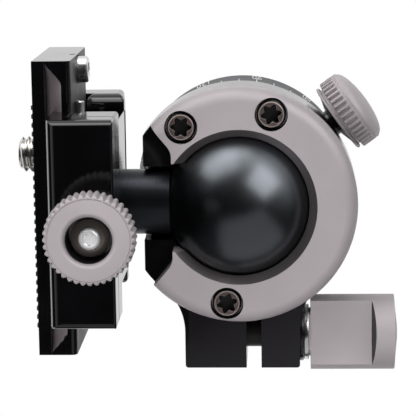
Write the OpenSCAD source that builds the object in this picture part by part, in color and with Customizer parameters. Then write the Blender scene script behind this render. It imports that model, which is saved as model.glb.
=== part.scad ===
// Ball head with a drop notch, a split socket, a screw-knob clamp and a camera plate.
// Millimetres. Z is the pan axis and the base stands on Z = 0. The dropped stem points along -X.

/* [Ball and stem] */
// Diameter of the ball
ball_d = 40; // [37:0.5:43]
// Clearance between the ball and the bore it sits in
ball_gap = 0.3; // [0.2:0.05:0.5]
// Diameter of the stem
stem_d = 17.4; // [16:0.2:18]
// Clearance between the dropped clamp and the base
clamp_gap = 0.7; // [0.5:0.1:2]

/* [Base] */
// Height of the base up to the seam
base_h = 12.8; // [12:0.2:16]
// How far the base is set in from the wall of the body
base_step = 1.6; // [1.5:0.1:2.2]
// Chamfer at the foot of the base
foot_chamfer = 0.5; // [0.3:0.1:0.6]
// Height of the drum that the body turns on
drum_h = 7.7; // [7:0.1:10]
// Wall of the drum
drum_wall = 5; // [4:0.1:6]
// Wall of the scale ring
scale_t = 3; // [2.8:0.1:4]
// Taper of the skirt that carries the scale
skirt_in = 1.8; // [1.4:0.1:2]
// Height of the skirt that carries the scale
skirt_h = 5; // [4:0.1:6]
// Height at which the scale ring starts
scale_z = 0.7; // [0.7:0.1:1]
// Diameter of the threaded insert
insert_d = 16; // [14:0.5:18]
// Wall diameter of the 3/8 inch tripod thread
tripod_d = 8; // [7.8:0.05:8.2]
// Depth of the tripod thread
tripod_depth = 10.5; // [9.5:0.1:11]

/* [Body] */
// Wall of the body round the ball
body_wall = 11; // [10:0.1:13]
// Height of the body above the ball centre
body_above = 3.2; // [2.6:0.1:4]
// Depth of the wide wall below the ball centre
body_below = 9; // [8:0.1:11]
// Depth of the lugs below the ball centre
lug_below = 14.5; // [13.6:0.1:15]
// How far the flat is cut into the wall
flat_in = 5.8; // [5:0.1:6.5]
// Clearance at each side of the stem in the drop slot
slot_clear = 1.2; // [0.8:0.1:2]
// Width of the slit
slit_w = 4; // [3:0.1:4.5]
// Place of the slit
slit_x = 3.5; // [2.8:0.1:4.5]
// Reach of the left lug to the left
lug_left = 15; // [14:0.1:16]
// Reach of the right lug to the right
lug_right = 15.9; // [15:0.1:17]
// Length of the lugs beyond the wall
lug_len = 13.9; // [13.6:0.1:15]
// Hollow fillet between lug and wall
lug_fillet = 16; // [12:0.5:18]
// Height of the relief cut under the right lug
relief_h = 1.2; // [0.8:0.1:2]
// Clearance of the body on its drum
run_gap = 0.05; // [0.03:0.01:0.1]
// Gap at the seam between base and body
seam_gap = 0.3; // [0.2:0.05:0.5]

/* [Seat] */
// Angle of the inner edge of the seat from the axis below the ball
seat_angle = 51; // [48:0.5:54]
// Clearance between ball and seat
seat_gap = 0.05; // [0.03:0.01:0.1]
// Height of the seat
seat_h = 3.6; // [3:0.1:3.7]
// Height of the wave spring
spring_t = 1.2; // [0.8:0.1:2]
// Thickness of the ledge that carries the spring
ledge_t = 1.8; // [1.5:0.1:3]
// Thickness of the pan bearing
bearing_t = 0.8; // [0.5:0.1:1.5]

/* [Retaining ring] */
// Thickness of the ring
ring_t = 7.5; // [7:0.1:8.5]
// Rounding of the outer edge of the ring
ring_round = 3.7; // [2.5:0.1:4]
// Chamfer of the hole of the ring
ring_chamfer = 2.05; // [1.5:0.05:2.5]
// Land between the lip of the ring and the ball
lip_land = 0.22; // [0.1:0.02:0.5]
// Clearance at each side of the stem in the notch of the ring
notch_clear = 3; // [2.6:0.1:3.6]
// Depth of the horns of the notch from the outer edge
horn_in = 13.75; // [13:0.05:14]
// Half width where the notch starts to flare
horn_y = 15; // [14:0.1:16]
// Rounding at the root of the flare of the notch
horn_round = 4.5; // [3:0.5:6]
// Angle of the flare of the notch
flare = 50; // [45:1:55]
// Head diameter of the ring screws
ring_head_d = 7.6; // [6.5:0.1:8]
// Clearance round the heads of the ring screws
head_clear = 0.55; // [0.3:0.05:0.8]

/* [Knobs] */
// Diameter of the pan knob
pan_knob_d = 21; // [19:0.5:23]
// Direction of the pan knob round the pan axis
pan_az = 36; // [30:1:44]
// Grooves round the pan knob
pan_flutes = 38; // [30:1:42]
// Diameter of the lock knob
lock_knob_d = 20.4; // [19:0.2:21]
// Length of the lock knob
lock_knob_len = 22.6; // [20:0.2:26]
// Diameter of the lock bolt
bolt_d = 8; // [6:0.5:8]
// Distance of the lock bolt from the lug ends
bolt_inset = 8; // [7.8:0.1:9]
// Depth of the lock bolt below the ball centre
bolt_drop = 5; // [4:0.1:6]
// Diameter of the clamp knob
clamp_knob_d = 22.7; // [21:0.1:25]
// Length of the clamp knob
clamp_knob_len = 17.5; // [16:0.1:20]
// Grooves round the clamp knob
clamp_flutes = 40; // [30:1:44]

/* [Clamp] */
// Half length of the jaws
jaw_half = 26.7; // [25:0.1:27.5]
// Thickness of a jaw
jaw_t = 10.4; // [9.5:0.1:12]
// Thickness of the bed
bed_t = 11.9; // [11.5:0.1:13]
// How far the bed is set back from the cross bar
bed_in = 1.6; // [1:0.1:1.6]
// How far the bed ends are cut back
bed_cut = 4.4; // [4.1:0.1:5]
// Width of the cross bar beside the moving jaw
bar_t = 9.5; // [8.5:0.1:11]
// Reach of the cross bar beyond the side of the plate
bar_over = 9; // [8.5:0.1:10]
// Thickness of the moving jaw
front_t = 8.3; // [7.5:0.1:9.5]
// Seam between cross bar and moving jaw
jaw_seam = 0.1; // [0.05:0.01:0.3]
// Rounding of the outer edge of the moving jaw
jaw_round = 2.6; // [2:0.1:3]
// Clearance between jaw teeth and plate
tooth_gap = 0.2; // [0.15:0.01:0.3]
// Diameter of the clamp stud
stud_d = 5; // [4.5:0.5:5]
// Opening of the moving jaw
jaw_travel = 5; // [4:0.1:5]

/* [Camera plate] */
// Width of the plate
plate_w = 38; // [37.6:0.1:38.4]
// Thickness of the plate
plate_t = 10; // [9.5:0.1:11]
// Reach of the plate to its far end
plate_up = 39.8; // [39:0.1:41]
// Reach of the plate to its near end
plate_down = 37.5; // [37:0.1:39]
// Thickness of the foot below the side grooves
foot_t = 2.4; // [2:0.1:2.8]
// Rounding of the lower edges of the foot
foot_round = 1.5; // [1:0.1:1.8]
// Depth of the side grooves
groove_d = 4.3; // [4:0.1:4.6]
// Length of the plate left whole at each end
groove_end = 0.7; // [0.5:0.1:2]
// Radius of the cutter that makes the side grooves
cutter_r = 5.8; // [5.7:0.1:7]
// Height of the jaw teeth above the foot
tooth_h = 2.5; // [2.2:0.1:3]
// Clearance between plate and bed
bed_gap = 0.2; // [0.1:0.05:0.4]
// Place of the camera screw along the plate
screw_y = 13.1; // [8:0.1:15]
// Diameter of the camera screw
screw_d = 9.525; // [9.4:0.005:9.6]
// Height of the camera screw above the plate
screw_out = 6.1; // [5:0.1:9]
// Height of the pad ribs above the plate
rib_h = 0.5; // [0.3:0.05:0.8]
// Spacing of the pad ribs
rib_pitch = 2.3; // [2:0.1:3]

/* [Hidden] */
$fn = 96;
fit = 0.05;
ball_r = ball_d / 2;
stem_r = stem_d / 2;
bore_r = ball_r + ball_gap;
body_r = bore_r + body_wall;
base_r = body_r - base_step;
low_r = body_r - 2;
core_r = base_r - scale_t;
drum_r = bore_r + 1.7;
drum_in = drum_r - drum_wall;
drum_z = base_h + drum_h;
pan_z = base_h + 0.55 * drum_h;
track_d = 1.5;
track_w = 4.6;
ledge_z = drum_z + bearing_t + fit;
seat_z = ledge_z + ledge_t + spring_t;
seat_in = (ball_r + seat_gap) * sin(seat_angle);
ball_z = seat_z + (ball_r + seat_gap) * cos(seat_angle);
wall_z = ball_z - body_below;
step_z = ball_z - lug_below;
top_z = ball_z + body_above;
face_z = top_z + ring_t;
relief_z = step_z - 0.1;
flat_x = body_r - flat_in;
slot_half = stem_r + slot_clear;
lug_y = body_r + lug_len;
bolt_y = lug_y - bolt_inset;
bolt_z = ball_z - bolt_drop;
bolt_r = bolt_d / 2;
washer_r = bolt_r + 3.9;
ring_r = body_r + 0.05;
lip_h = body_above + ring_t - ring_chamfer;
lip_r = sqrt(bore_r * bore_r - lip_h * lip_h) + lip_land;
hole_r = lip_r + ring_chamfer;
circle_r = (hole_r + ring_r) / 2;
ring_screw_az = [125, 70.5, 262.5];
ring_head_r = ring_head_d / 2;
keeper_az = [150, 250];
pan_r = pan_knob_d / 2;
pan_in = body_r + 1.4;
lock_x = lug_right + 2.9;
lock_r = lock_knob_d / 2;
reach = base_r + clamp_gap;
bed_u = reach + bed_t;
plate_u = bed_u + bed_gap;
cam_u = plate_u + plate_t;
half_w = plate_w / 2;
jaw_in = half_w + 1.6;
jaw_out = jaw_in + jaw_t;
jaw_u = plate_u + foot_t + tooth_h;
groove_u = plate_u + foot_t + groove_d;
groove_run = sqrt(cutter_r * cutter_r - (cutter_r - groove_d) * (cutter_r - groove_d));
far_in = bed_in + 0.8;
bar_out = half_w + bar_over;
front_in = bar_out + jaw_seam;
front_out = front_in + front_t;
knob_u = reach + 4.6;
stud_r = stud_d / 2;
knob_w = front_out + 1.1;
knob_face = knob_w + clamp_knob_len;
recess_w = knob_face - 10.4;
stop_w = recess_w + jaw_travel + 0.2;
pin_y = 17;
pin_u = reach + 6.3;
ball_flat = sqrt(ball_r * ball_r - (stem_r + 0.15) * (stem_r + 0.15));
stop_inset = 4.15;
stop_near = 6.4;
stop_r = 3.5;
pad_rec = 0.8;
pad_half = half_w - 0.6;
pad_up = plate_up - 7.8;
pad_down = plate_down - 6.5;
clip = 0.01;

grey = [0.43, 0.41, 0.40];
black = [0.09, 0.09, 0.10];
steel = [0.72, 0.73, 0.74];
brass = [0.72, 0.58, 0.30];
rubber = [0.12, 0.12, 0.12];
plastic = [0.88, 0.88, 0.86];

// Places its children on the ball centre, with the local Z along the stem and the local X towards world Z.
module on_stem() {
    translate([0, 0, ball_z]) rotate([0, -90, 0]) children();
}

// Places its children on a radial axis of the body at a height, with the local Z pointing outwards.
module on_radius(az, z) {
    rotate([0, 0, az]) translate([0, 0, z]) rotate([0, 90, 0]) children();
}

// Places its children on the lock bolt, with the local Z along world X.
module on_bolt() {
    translate([0, -bolt_y, bolt_z]) rotate([0, 90, 0]) children();
}

// Cylinder between two heights.
module rod(r, a, b) {
    translate([0, 0, a]) cylinder(r = r, h = b - a);
}

// Tube between two heights.
module tube(r_out, r_in, a, b) {
    difference() {
        rod(r_out, a, b);
        rod(r_in, a - 1, b + 1);
    }
}

// Rod along the local X axis on the stem frame, at a place along the jaws and along the stem.
module cross_rod(r, y, u, a, b) {
    translate([a, y, u]) rotate([0, 90, 0]) cylinder(r = r, h = b - a);
}

// Profile in the jaw section, drawn along the jaws.
module along_jaw(half_len) {
    translate([0, half_len, 0]) rotate([90, 0, 0]) linear_extrude(2 * half_len) children();
}

// Drum, floor and foot of the base.
module pan_base() color(black) difference() {
    rotate_extrude() polygon([[0, 0], [base_r - 0.5 - foot_chamfer, 0], [base_r - 0.5, foot_chamfer],
        [base_r - 0.5, scale_z], [core_r, scale_z], [core_r, base_h], [drum_r, base_h],
        [drum_r, pan_z - track_w / 2], [drum_r - track_d, pan_z - track_w / 2],
        [drum_r - track_d, pan_z + track_w / 2], [drum_r, pan_z + track_w / 2], [drum_r, drum_z],
        [drum_in, drum_z], [drum_in, tripod_depth], [0, tripod_depth]]);
    rod(insert_d / 2 + fit, -1, tripod_depth - 3);
    rod(insert_d / 2 + 2 + fit, tripod_depth - 3 - fit, tripod_depth + 1);
}

// Sleeve with the pan scale on its flared skirt.
module scale_ring() color(grey) rotate_extrude() polygon([[core_r + fit, scale_z + fit],
    [base_r - 0.2, scale_z + fit], [base_r, scale_z + fit + 0.2], [base_r, scale_z + 0.7],
    [base_r - skirt_in, scale_z + 0.7 + skirt_h], [base_r - skirt_in, base_h], [core_r + fit, base_h]]);

// Flanged steel bush with the tripod thread.
module tripod_insert() color(steel) difference() {
    union() {
        rod(insert_d / 2, 0, tripod_depth - 1);
        rod(insert_d / 2 + 2, tripod_depth - 3, tripod_depth);
    }
    rod(tripod_d / 2, -1, tripod_depth + 1);
}

// Thrust washer on the drum.
module pan_bearing() color(plastic) tube(drum_r - 0.4, drum_in + 0.4, drum_z, drum_z + bearing_t);

// Hollow fillet between the wall and one side of the lugs.
module lug_web(side, x) {
    f = lug_fillet;
    cx = x + f;
    cy = sqrt((body_r + f - 0.4) * (body_r + f - 0.4) - cx * cx);
    k = body_r / (body_r + f);
    difference() {
        polygon([[side * (x - 1), -cy], [side * x, -cy], [side * cx * k, -cy * k], [side * cx * k * 0.9, -cy * k * 0.9],
            [side * (x - 1), -cy * k * 0.9]]);
        translate([side * cx, -cy]) circle(r = f);
    }
}

// Outline of the lugs with rounded outer corners.
module lug_outline() {
    c = 0.8;
    translate([-lug_left, -lug_y + c]) square([lug_left + lug_right, lug_len + c]);
    translate([-lug_left + c, -lug_y]) square([lug_left + lug_right - 2 * c, 2 * c]);
    translate([-lug_left + c, -lug_y + c]) circle(r = c);
    translate([lug_right - c, -lug_y + c]) circle(r = c);
    translate([-lug_left, -body_r + 0.5]) square([lug_left + lug_right, 12]);
    lug_web(-1, lug_left);
    lug_web(1, lug_right);
}

// Split body with lugs, drop slot, flat and the bores for its fittings.
module socket_body() color(black) difference() {
    union() {
        rod(low_r, base_h + seam_gap, wall_z + 1);
        rod(body_r, wall_z, top_z);
        translate([0, 0, step_z]) linear_extrude(top_z - step_z) lug_outline();
    }
    rod(drum_r + run_gap, base_h - 1, ledge_z);
    rod(seat_in + 0.2, ledge_z - 1, top_z);
    rod(bore_r, ledge_z + ledge_t, top_z + 1);
    translate([-flat_x - 20, -40, 0]) cube([20, 80, 80]);
    on_stem() {
        rod(slot_half, ball_r * 0.6, body_r + 5);
        translate([0, -slot_half, ball_r * 0.6]) cube([30, 2 * slot_half, body_r]);
    }
    translate([slit_x - slit_w / 2, -lug_y - 1, relief_z]) cube([slit_w, lug_y + 1 - ball_r * 0.6, 60]);
    translate([0, 0, relief_z]) linear_extrude(relief_h) polygon([[slit_x, 0], [slit_x, -lug_y - 1],
        [lug_y, -lug_y - 1], [lug_y, lug_y * tan(12)], [slit_x, slit_x * tan(12)]]);
    on_bolt() {
        rod(bolt_r + 0.3, -10, lug_right + 1);
        rod(bolt_r + 2.5 + fit, -lug_left - 1, -lug_left + 10);
        rod(washer_r + 0.3, lug_right, lug_right + 9);
    }
    for (az = ring_screw_az) rotate([0, 0, az]) translate([circle_r, 0, 0]) rod(2 + fit, top_z - 9, top_z + 1);
    on_radius(pan_az, pan_z) rod(2.5 + fit, drum_r - 1, body_r + 5);
    for (az = keeper_az) on_radius(az, pan_z) rod(2.5 + fit, drum_r - 1, body_r + 5);
}

// Plan of the notch that the ring leaves for the stem.
module notch_plan() {
    hx = ring_r - horn_in;
    half = stem_r + notch_clear;
    k = tan(flare);
    translate([-60, -half]) square([60 - ball_r * 0.5, 2 * half]);
    run = horn_round * tan((90 - flare) / 2);
    polygon(concat([[-hx - 30, -horn_y - 30 * k]],
        arc([-hx - horn_round, -horn_y + run], horn_round, flare - 90, 0),
        arc([-hx - horn_round, horn_y - run], horn_round, 0, 90 - flare), [[-hx - 30, horn_y + 30 * k]]));
}

// Ring that keeps the ball in the body.
module retaining_ring() color(grey) difference() {
    translate([0, 0, top_z]) rotate_extrude() {
        square([ring_r, ring_t - ring_round]);
        square([ring_r - ring_round, ring_t]);
        translate([ring_r - ring_round, ring_t - ring_round]) circle(r = ring_round);
    }
    translate([0, 0, ball_z]) sphere(r = bore_r);
    rod(lip_r, ball_z, face_z + 1);
    translate([0, 0, face_z - ring_chamfer]) cylinder(r1 = lip_r, r2 = hole_r + 1, h = ring_chamfer + 1);
    translate([0, 0, top_z - 1]) linear_extrude(ring_t + 2) notch_plan();
    for (az = ring_screw_az) rotate([0, 0, az]) translate([circle_r, 0, 0]) {
        rod(2.2, top_z - 1, face_z + 1);
        rod(ring_head_r + head_clear, face_z - 4.2, face_z + 1);
    }
}

// Socket screws that hold the ring.
module ring_screws() color(black) for (az = ring_screw_az)
    rotate([0, 0, az]) translate([circle_r, 0, 0]) difference() {
        union() {
            rod(ring_head_r, face_z - 4.2, face_z - 0.5);
            rod(2, top_z - 8, face_z - 4);
        }
        translate([0, 0, face_z - 2.4]) cylinder(r = 2, h = 3, $fn = 6);
    }

// Seat that carries the ball from below.
module ball_seat() color(plastic) difference() {
    tube(bore_r - 0.2, seat_in, seat_z, seat_z + seat_h);
    translate([0, 0, ball_z]) sphere(r = ball_r + seat_gap);
}

// Wave spring under the seat.
module seat_spring() color(steel) tube(bore_r - 0.4, seat_in + 0.8, ledge_z + ledge_t, seat_z);

// Screws whose points run in the track of the drum and keep the body on the base.
module keeper_screws() color(steel) for (az = keeper_az) on_radius(az, pan_z) difference() {
    union() {
        rod(2.5, drum_r + 0.4, drum_r + 3.2);
        rod(2, drum_r - track_d + 0.3, drum_r + 0.5);
    }
    translate([0, 0, drum_r + 1.6]) cylinder(r = 1.4, h = 3, $fn = 6);
}

// Threaded bush in the left lug.
module lock_nut() color(steel) on_bolt() tube(bolt_r + 2.5, bolt_r + 0.1, -lug_left, -lug_left + 10);

// Black washer on the right lug.
module lock_washer() color(black) on_bolt() tube(washer_r, bolt_r + 0.2, lug_right, lug_right + 1);

// Bright thrust ring under the lock knob.
module thrust_ring() color(steel) on_bolt() tube(washer_r - 0.3, bolt_r + 0.1, lug_right + 1.05, lug_right + 2.4);

// Shoe that the pan stud presses on the drum.
module brake_shoe() color(brass) on_radius(pan_az, pan_z) rod(2.1, drum_r - track_d + fit, drum_r + 2.5);

// Fluted cap of the pan knob with its flange and dome.
module pan_knob() color(grey) on_radius(pan_az, pan_z) difference() {
    dome = 2.9;
    cap = (pan_r - 0.3) * (pan_r - 0.3) / (2 * dome) + dome / 2;
    union() {
        rod(pan_r - 0.6, pan_in, pan_in + 0.7);
        rod(pan_r - 1.6, pan_in + 0.5, pan_in + 2);
        rod(pan_r, pan_in + 1.6, pan_in + 6.1);
        rod(pan_r - 0.3, pan_in + 6, pan_in + 6.7);
        intersection() {
            translate([0, 0, pan_in + 6.7 + dome - cap]) sphere(r = cap);
            rod(pan_r - 0.3, pan_in + 6.6, pan_in + 12);
        }
    }
    for (i = [0:pan_flutes - 1]) rotate([0, 0, i * 360 / pan_flutes]) translate([pan_r + 0.2, 0, 0])
        rod(0.65, pan_in + 1.2, pan_in + 6.4);
    rod(2.5 + fit, pan_in - 1, pan_in + 4);
}

// Black cone between pan knob and body.
module pan_hub() color(black) on_radius(pan_az, pan_z) difference() {
    union() {
        rod(3.8, low_r + 0.3, body_r + 0.3);
        translate([0, 0, body_r + 0.2]) cylinder(r1 = 4.5, r2 = 8.6, h = pan_in - body_r - 0.2);
    }
    rod(2.5 + fit, low_r - 1, pan_in + 1);
}

// Steel stud of the pan knob.
module pan_stud() color(steel) on_radius(pan_az, pan_z) rod(2.5, drum_r + 2.55, pan_in + 3.9);

// Lock knob with two scoops and a flat dome.
module lock_knob() color(grey) on_bolt() difference() {
    end = lock_x + lock_knob_len;
    wall = lock_x + 0.73 * lock_knob_len;
    scoop_r = 32;
    union() {
        rod(6.6, lock_x - 0.45, lock_x + 1);
        rod(lock_r, lock_x, end);
        translate([0, 0, end - clip]) cylinder(r1 = lock_r - 0.6, r2 = 2.4, h = 0.8);
    }
    for (side = [-1, 1]) rotate([0, 0, -10]) translate([side * (0.42 * lock_r + scoop_r), 0, 0]) {
        rod(scoop_r, lock_x - 2, wall);
        translate([0, 0, wall - clip]) cylinder(r1 = scoop_r, r2 = scoop_r - 7, h = 1.25);
    }
    rod(bolt_r + fit, lock_x - 2, end - 6);
    rod(1.6 + fit, end - 6.5, end + 2);
}

// Bolt across the slit.
module lock_bolt() color(black) on_bolt() rod(bolt_r, -lug_left + 1.5, lock_x + lock_knob_len - 6.1);

// Set screw in the end of the lock knob.
module lock_cap() color(black) on_bolt() difference() {
    end = lock_x + lock_knob_len;
    rod(1.6, end - 5.9, end + 0.3);
    translate([0, 0, end - 1.2]) cylinder(r = 0.9, h = 3, $fn = 6);
}

// Ball with its flat and the bore for the stem's tenon.
module ball() color(black) on_stem() rotate_extrude() difference() {
    intersection() {
        circle(r = ball_r);
        translate([0, -ball_r - 1]) square([ball_r + 1, ball_r + 1 + ball_flat]);
    }
    translate([-1, ball_flat - 10.2]) square([6 + run_gap, 12]);
}

// Turned stem with a tenon in the ball and a spigot in the clamp.
module stem() color(black) on_stem() difference() {
    union() {
        rod(stem_r, ball_flat + 0.1, reach + bed_in);
        rod(5, ball_flat - 10, ball_flat + 1);
        rod(6, reach - 1, reach + 4);
    }
    rod(3 + fit, reach - 10.2, reach + 5);
}

// Points of an arc round a centre.
function arc(c, r, from, to, n = 8) = [for (i = [0:n])
    [c[0] + r * cos(from + (to - from) * i / n), c[1] + r * sin(from + (to - from) * i / n)]];

// Section of the tooth that one jaw holds the plate with.
function tooth() = [[half_w - tooth_h + tooth_gap * sqrt(2) + 0.4, jaw_u],
    [half_w - tooth_h + tooth_gap * sqrt(2) + 0.4, jaw_u - 0.4],
    [jaw_in, plate_u + foot_t + tooth_gap * sqrt(2) - (jaw_in - half_w)]];

// Clamp body with the far jaw, the bed and the cross bar.
module clamp_base() color(black) on_stem() difference() {
    intersection() {
        mirror([1, 0, 0]) along_jaw(jaw_half + 1) polygon(concat([[-bar_out, reach], [-bar_out + bar_t - 0.8, reach],
            [-bar_out + bar_t, reach + bed_in], [jaw_in - 1, reach + bed_in], [jaw_in, reach + far_in], [jaw_out - 3, reach + far_in], [jaw_out, reach + far_in + 3],
            [jaw_out, jaw_u - 1.5], [jaw_out - 1.5, jaw_u]], tooth(), [[jaw_in, bed_u], [-bar_out, bed_u]]));
        translate([0, 0, reach - 1]) linear_extrude(40) {
            polygon([[-jaw_in, -jaw_half], [-jaw_in, jaw_half], [-jaw_out + 2, jaw_half], [-jaw_out, jaw_half - 2],
                [-jaw_out, -jaw_half + 2], [-jaw_out + 2, -jaw_half]]);
            translate([-jaw_in - clip, -jaw_half + bed_cut]) square([jaw_in + bar_out - bar_t + 1, 2 * (jaw_half - bed_cut)]);
            translate([bar_out - bar_t, -jaw_half]) square([bar_t + 1, 2 * jaw_half]);
            translate([-jaw_in - 1, -jaw_half]) square([5, 2 * jaw_half]);
        }
    }
    rod(6 + fit, reach - 1, reach + 4.1);
    rod(3.2, reach, bed_u + 1);
    rod(5.4, reach + 5.8, bed_u + 1);
    cross_rod(stud_r + fit, 0, knob_u, 7.9, 40);
    for (s = [-1, 1]) {
        cross_rod(2 + fit, s * pin_y, pin_u, 2.9, 40);
        cross_rod(3.4, s * pin_y, pin_u, 12.9, 40);
    }
}

// Cap screw that holds the clamp on the stem.
module clamp_bolt() color(steel) on_stem() difference() {
    union() {
        rod(5, reach + 5.8, bed_u - 0.3);
        rod(3, reach - 10, reach + 6);
    }
    translate([0, 0, bed_u - 3.3]) cylinder(r = 2.9, h = 5, $fn = 6);
}

// Pins that guide the moving jaw.
module guide_pins() color(steel) on_stem() for (s = [-1, 1])
    cross_rod(2, s * pin_y, pin_u, 3, front_out - 3);

// Springs that open the jaw.
module jaw_springs() color(steel) on_stem() for (s = [-1, 1]) difference() {
    cross_rod(3.2, s * pin_y, pin_u, 13, bar_out);
    cross_rod(2.3, s * pin_y, pin_u, 12, bar_out + 1);
}

// Stud that the clamp knob runs on.
module clamp_stud() color(steel) on_stem() difference() {
    cross_rod(stud_r, 0, knob_u, 8, stop_w);
    cross_rod(1.5 + fit, 0, knob_u, stop_w - 7, stop_w + 1);
}

// Domed washer that stops the knob.
module stop_washer() color(black) on_stem() translate([0, 0, knob_u]) rotate([0, 90, 0]) difference() {
    union() {
        rod(5.2, stop_w, stop_w + 0.6);
        translate([0, 0, stop_w + 0.5]) cylinder(r1 = 5.2, r2 = 3.4, h = 0.9);
    }
    rod(1.5 + fit, stop_w - 1, stop_w + 5);
}

// Bright screw that holds the stop washer.
module stop_screw() color(steel) on_stem() translate([0, 0, knob_u]) rotate([0, 90, 0]) difference() {
    union() {
        rod(2.8, stop_w + 1.4, stop_w + 3);
        rod(1.5, stop_w - 6.5, stop_w + 1.5);
    }
    translate([0, 0, stop_w + 1.9]) cylinder(r = 1.5, h = 3, $fn = 6);
}

// Sliding jaw whose lip reaches over the cross bar to the plate.
module moving_jaw() color(black) on_stem() difference() {
    c = 1.4;
    intersection() {
        along_jaw(jaw_half) polygon(concat([[front_in, reach], [front_out - 0.6, reach], [front_out, reach + 0.6],
            [front_out, jaw_u - jaw_round]],
            arc([front_out - jaw_round, jaw_u - jaw_round], jaw_round, 0, 90), tooth(),
            [[jaw_in, bed_u + jaw_seam], [front_in, bed_u + jaw_seam]]));
        translate([0, 0, reach - 1]) linear_extrude(40) polygon(concat([[half_w - 5, -jaw_half]],
            arc([front_out - c, -jaw_half + c], c, -90, 0), arc([front_out - c, jaw_half - c], c, 0, 90),
            [[half_w - 5, jaw_half]]));
    }
    cross_rod(stud_r + 0.2, 0, knob_u, half_w, front_out + 1);
    for (s = [-1, 1]) cross_rod(2 + 2 * fit, s * pin_y, pin_u, half_w, front_out - 2.5);
}

// Thrust washer between jaw and knob.
module knob_washer() color(plastic) on_stem() translate([0, 0, knob_u]) rotate([0, 90, 0])
    tube(6.6, stud_r + 0.2, front_out + 0.02, knob_w - 0.05);

// Fluted clamp knob on a hub, with a recess for the stop washer.
module clamp_knob() color(grey) on_stem() translate([0, 0, knob_u]) rotate([0, 90, 0]) difference() {
    r = clamp_knob_d / 2;
    union() {
        rod(7.4, knob_w, knob_face - 7);
        rod(r, knob_face - 7.8, knob_face - 0.9);
        translate([0, 0, knob_face - 0.9 - clip]) cylinder(r1 = r - 0.2, r2 = r - 0.8, h = 0.9 + clip);
    }
    for (i = [0:clamp_flutes - 1]) rotate([0, 0, i * 360 / clamp_flutes]) translate([r + 0.25, 0, 0])
        rod(0.75, knob_face - 9, knob_face + 1);
    rod(stud_r + 0.1, knob_w - 1, knob_face + 1);
    rod(5.75, recess_w, knob_face + 1);
    translate([0, 0, knob_face - 0.9]) cylinder(r1 = 5.75, r2 = 7.6, h = 1.85);
}

// Plate with a dovetail groove along each side.
module camera_plate() color(black) on_stem() difference() {
    translate([0, plate_up, 0]) rotate([90, 0, 0]) linear_extrude(plate_up + plate_down)
        polygon(concat([[half_w, cam_u], [-half_w, cam_u]],
            arc([-half_w + foot_round, plate_u + foot_round], foot_round, 180, 270),
            arc([half_w - foot_round, plate_u + foot_round], foot_round, 270, 360)));
    for (s = [0, 1]) mirror([s, 0, 0]) {
        translate([0, plate_up - groove_end - groove_run, 0]) rotate([90, 0, 0])
            linear_extrude(plate_up + plate_down - 2 * groove_end - 2 * groove_run)
            polygon([[half_w + 1, groove_u - groove_d - 1], [half_w - groove_d, groove_u], [half_w + 1, groove_u]]);
        for (y = [plate_up - groove_end - groove_run, -plate_down + groove_end + groove_run])
            translate([half_w - groove_d + cutter_r, y, groove_u - groove_d - 1])
            cylinder(r1 = cutter_r - groove_d - 1, r2 = cutter_r, h = groove_d + 1);
    }
    translate([-pad_half, -pad_down, cam_u - pad_rec]) cube([2 * pad_half, pad_up + pad_down, 5]);
    translate([0, screw_y, 0]) {
        rod(screw_d / 2 + 0.15, plate_u - 1, cam_u + 1);
        rod(8, plate_u - 1, plate_u + 5.5);
    }
    translate([1.5, plate_up - 1.9, plate_u + 1.3]) rotate([-90, 0, 0]) cylinder(r = 0.85, h = 3);
    for (y = [plate_up - stop_inset, -plate_down + stop_near]) translate([0, y, 0]) {
        rod(2 + fit, plate_u - 1, plate_u + 7.5);
        rod(stop_r + 0.4, plate_u - 1, plate_u + 1.4);
    }
}

// Ribbed pad on the camera side.
module grip_pad() color(rubber) on_stem() difference() {
    n = floor((pad_up + pad_down - 1) / rib_pitch);
    union() {
        translate([-pad_half + fit, -pad_down + fit, cam_u - pad_rec + 0.02])
            cube([2 * pad_half - 2 * fit, pad_up + pad_down - 2 * fit, pad_rec - 0.1]);
        for (i = [0:n - 1]) translate([-pad_half + 0.4, -pad_down + 0.6 + i * rib_pitch, cam_u - pad_rec + 0.1])
            cube([2 * pad_half - 0.8, rib_pitch * 0.55, pad_rec - 0.1 + rib_h]);
    }
    translate([0, screw_y, 0]) rod(screw_d / 2 + 1, plate_u, cam_u + 5);
}

// Cap screws that stop the plate at the ends of the clamp.
module plate_stops() color(steel) on_stem() for (y = [plate_up - stop_inset, -plate_down + stop_near])
    translate([0, y, 0]) difference() {
        union() {
            rod(stop_r, plate_u - 2.8, plate_u + 1.35);
            rod(2, plate_u + 1.2, plate_u + 7);
        }
        translate([0, 0, plate_u - 3.5]) cylinder(r = 1.7, h = 2.8, $fn = 6);
    }

// Camera screw with its head sunk in the plate.
module camera_screw() color(steel) on_stem() translate([0, screw_y, 0]) difference() {
    union() {
        rod(7.5, plate_u + 0.2, plate_u + 5.2);
        rod(screw_d / 2 - 0.8, plate_u + 5, cam_u);
        rod(screw_d / 2, cam_u - 0.1, cam_u + screw_out - 0.8);
        translate([0, 0, cam_u + screw_out - 0.8]) cylinder(r1 = screw_d / 2, r2 = screw_d / 2 - 0.8, h = 0.8);
    }
    translate([0, 0, plate_u - 1]) cylinder(r = 2.9, h = 4.5, $fn = 6);
}

pan_base();
scale_ring();
tripod_insert();
pan_bearing();
socket_body();
retaining_ring();
ring_screws();
ball_seat();
seat_spring();
keeper_screws();
lock_nut();
lock_washer();
thrust_ring();
brake_shoe();
pan_knob();
pan_hub();
pan_stud();
lock_knob();
lock_bolt();
lock_cap();
ball();
stem();
clamp_base();
clamp_bolt();
guide_pins();
jaw_springs();
clamp_stud();
stop_washer();
stop_screw();
moving_jaw();
knob_washer();
clamp_knob();
camera_plate();
grip_pad();
plate_stops();
camera_screw();
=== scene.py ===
"""Ball head in a white studio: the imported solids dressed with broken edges, finishes and fittings."""
from math import asin, atan2, cos, hypot, pi, radians, sin

import bmesh
import bpy
from mathutils import Matrix, Vector


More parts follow.
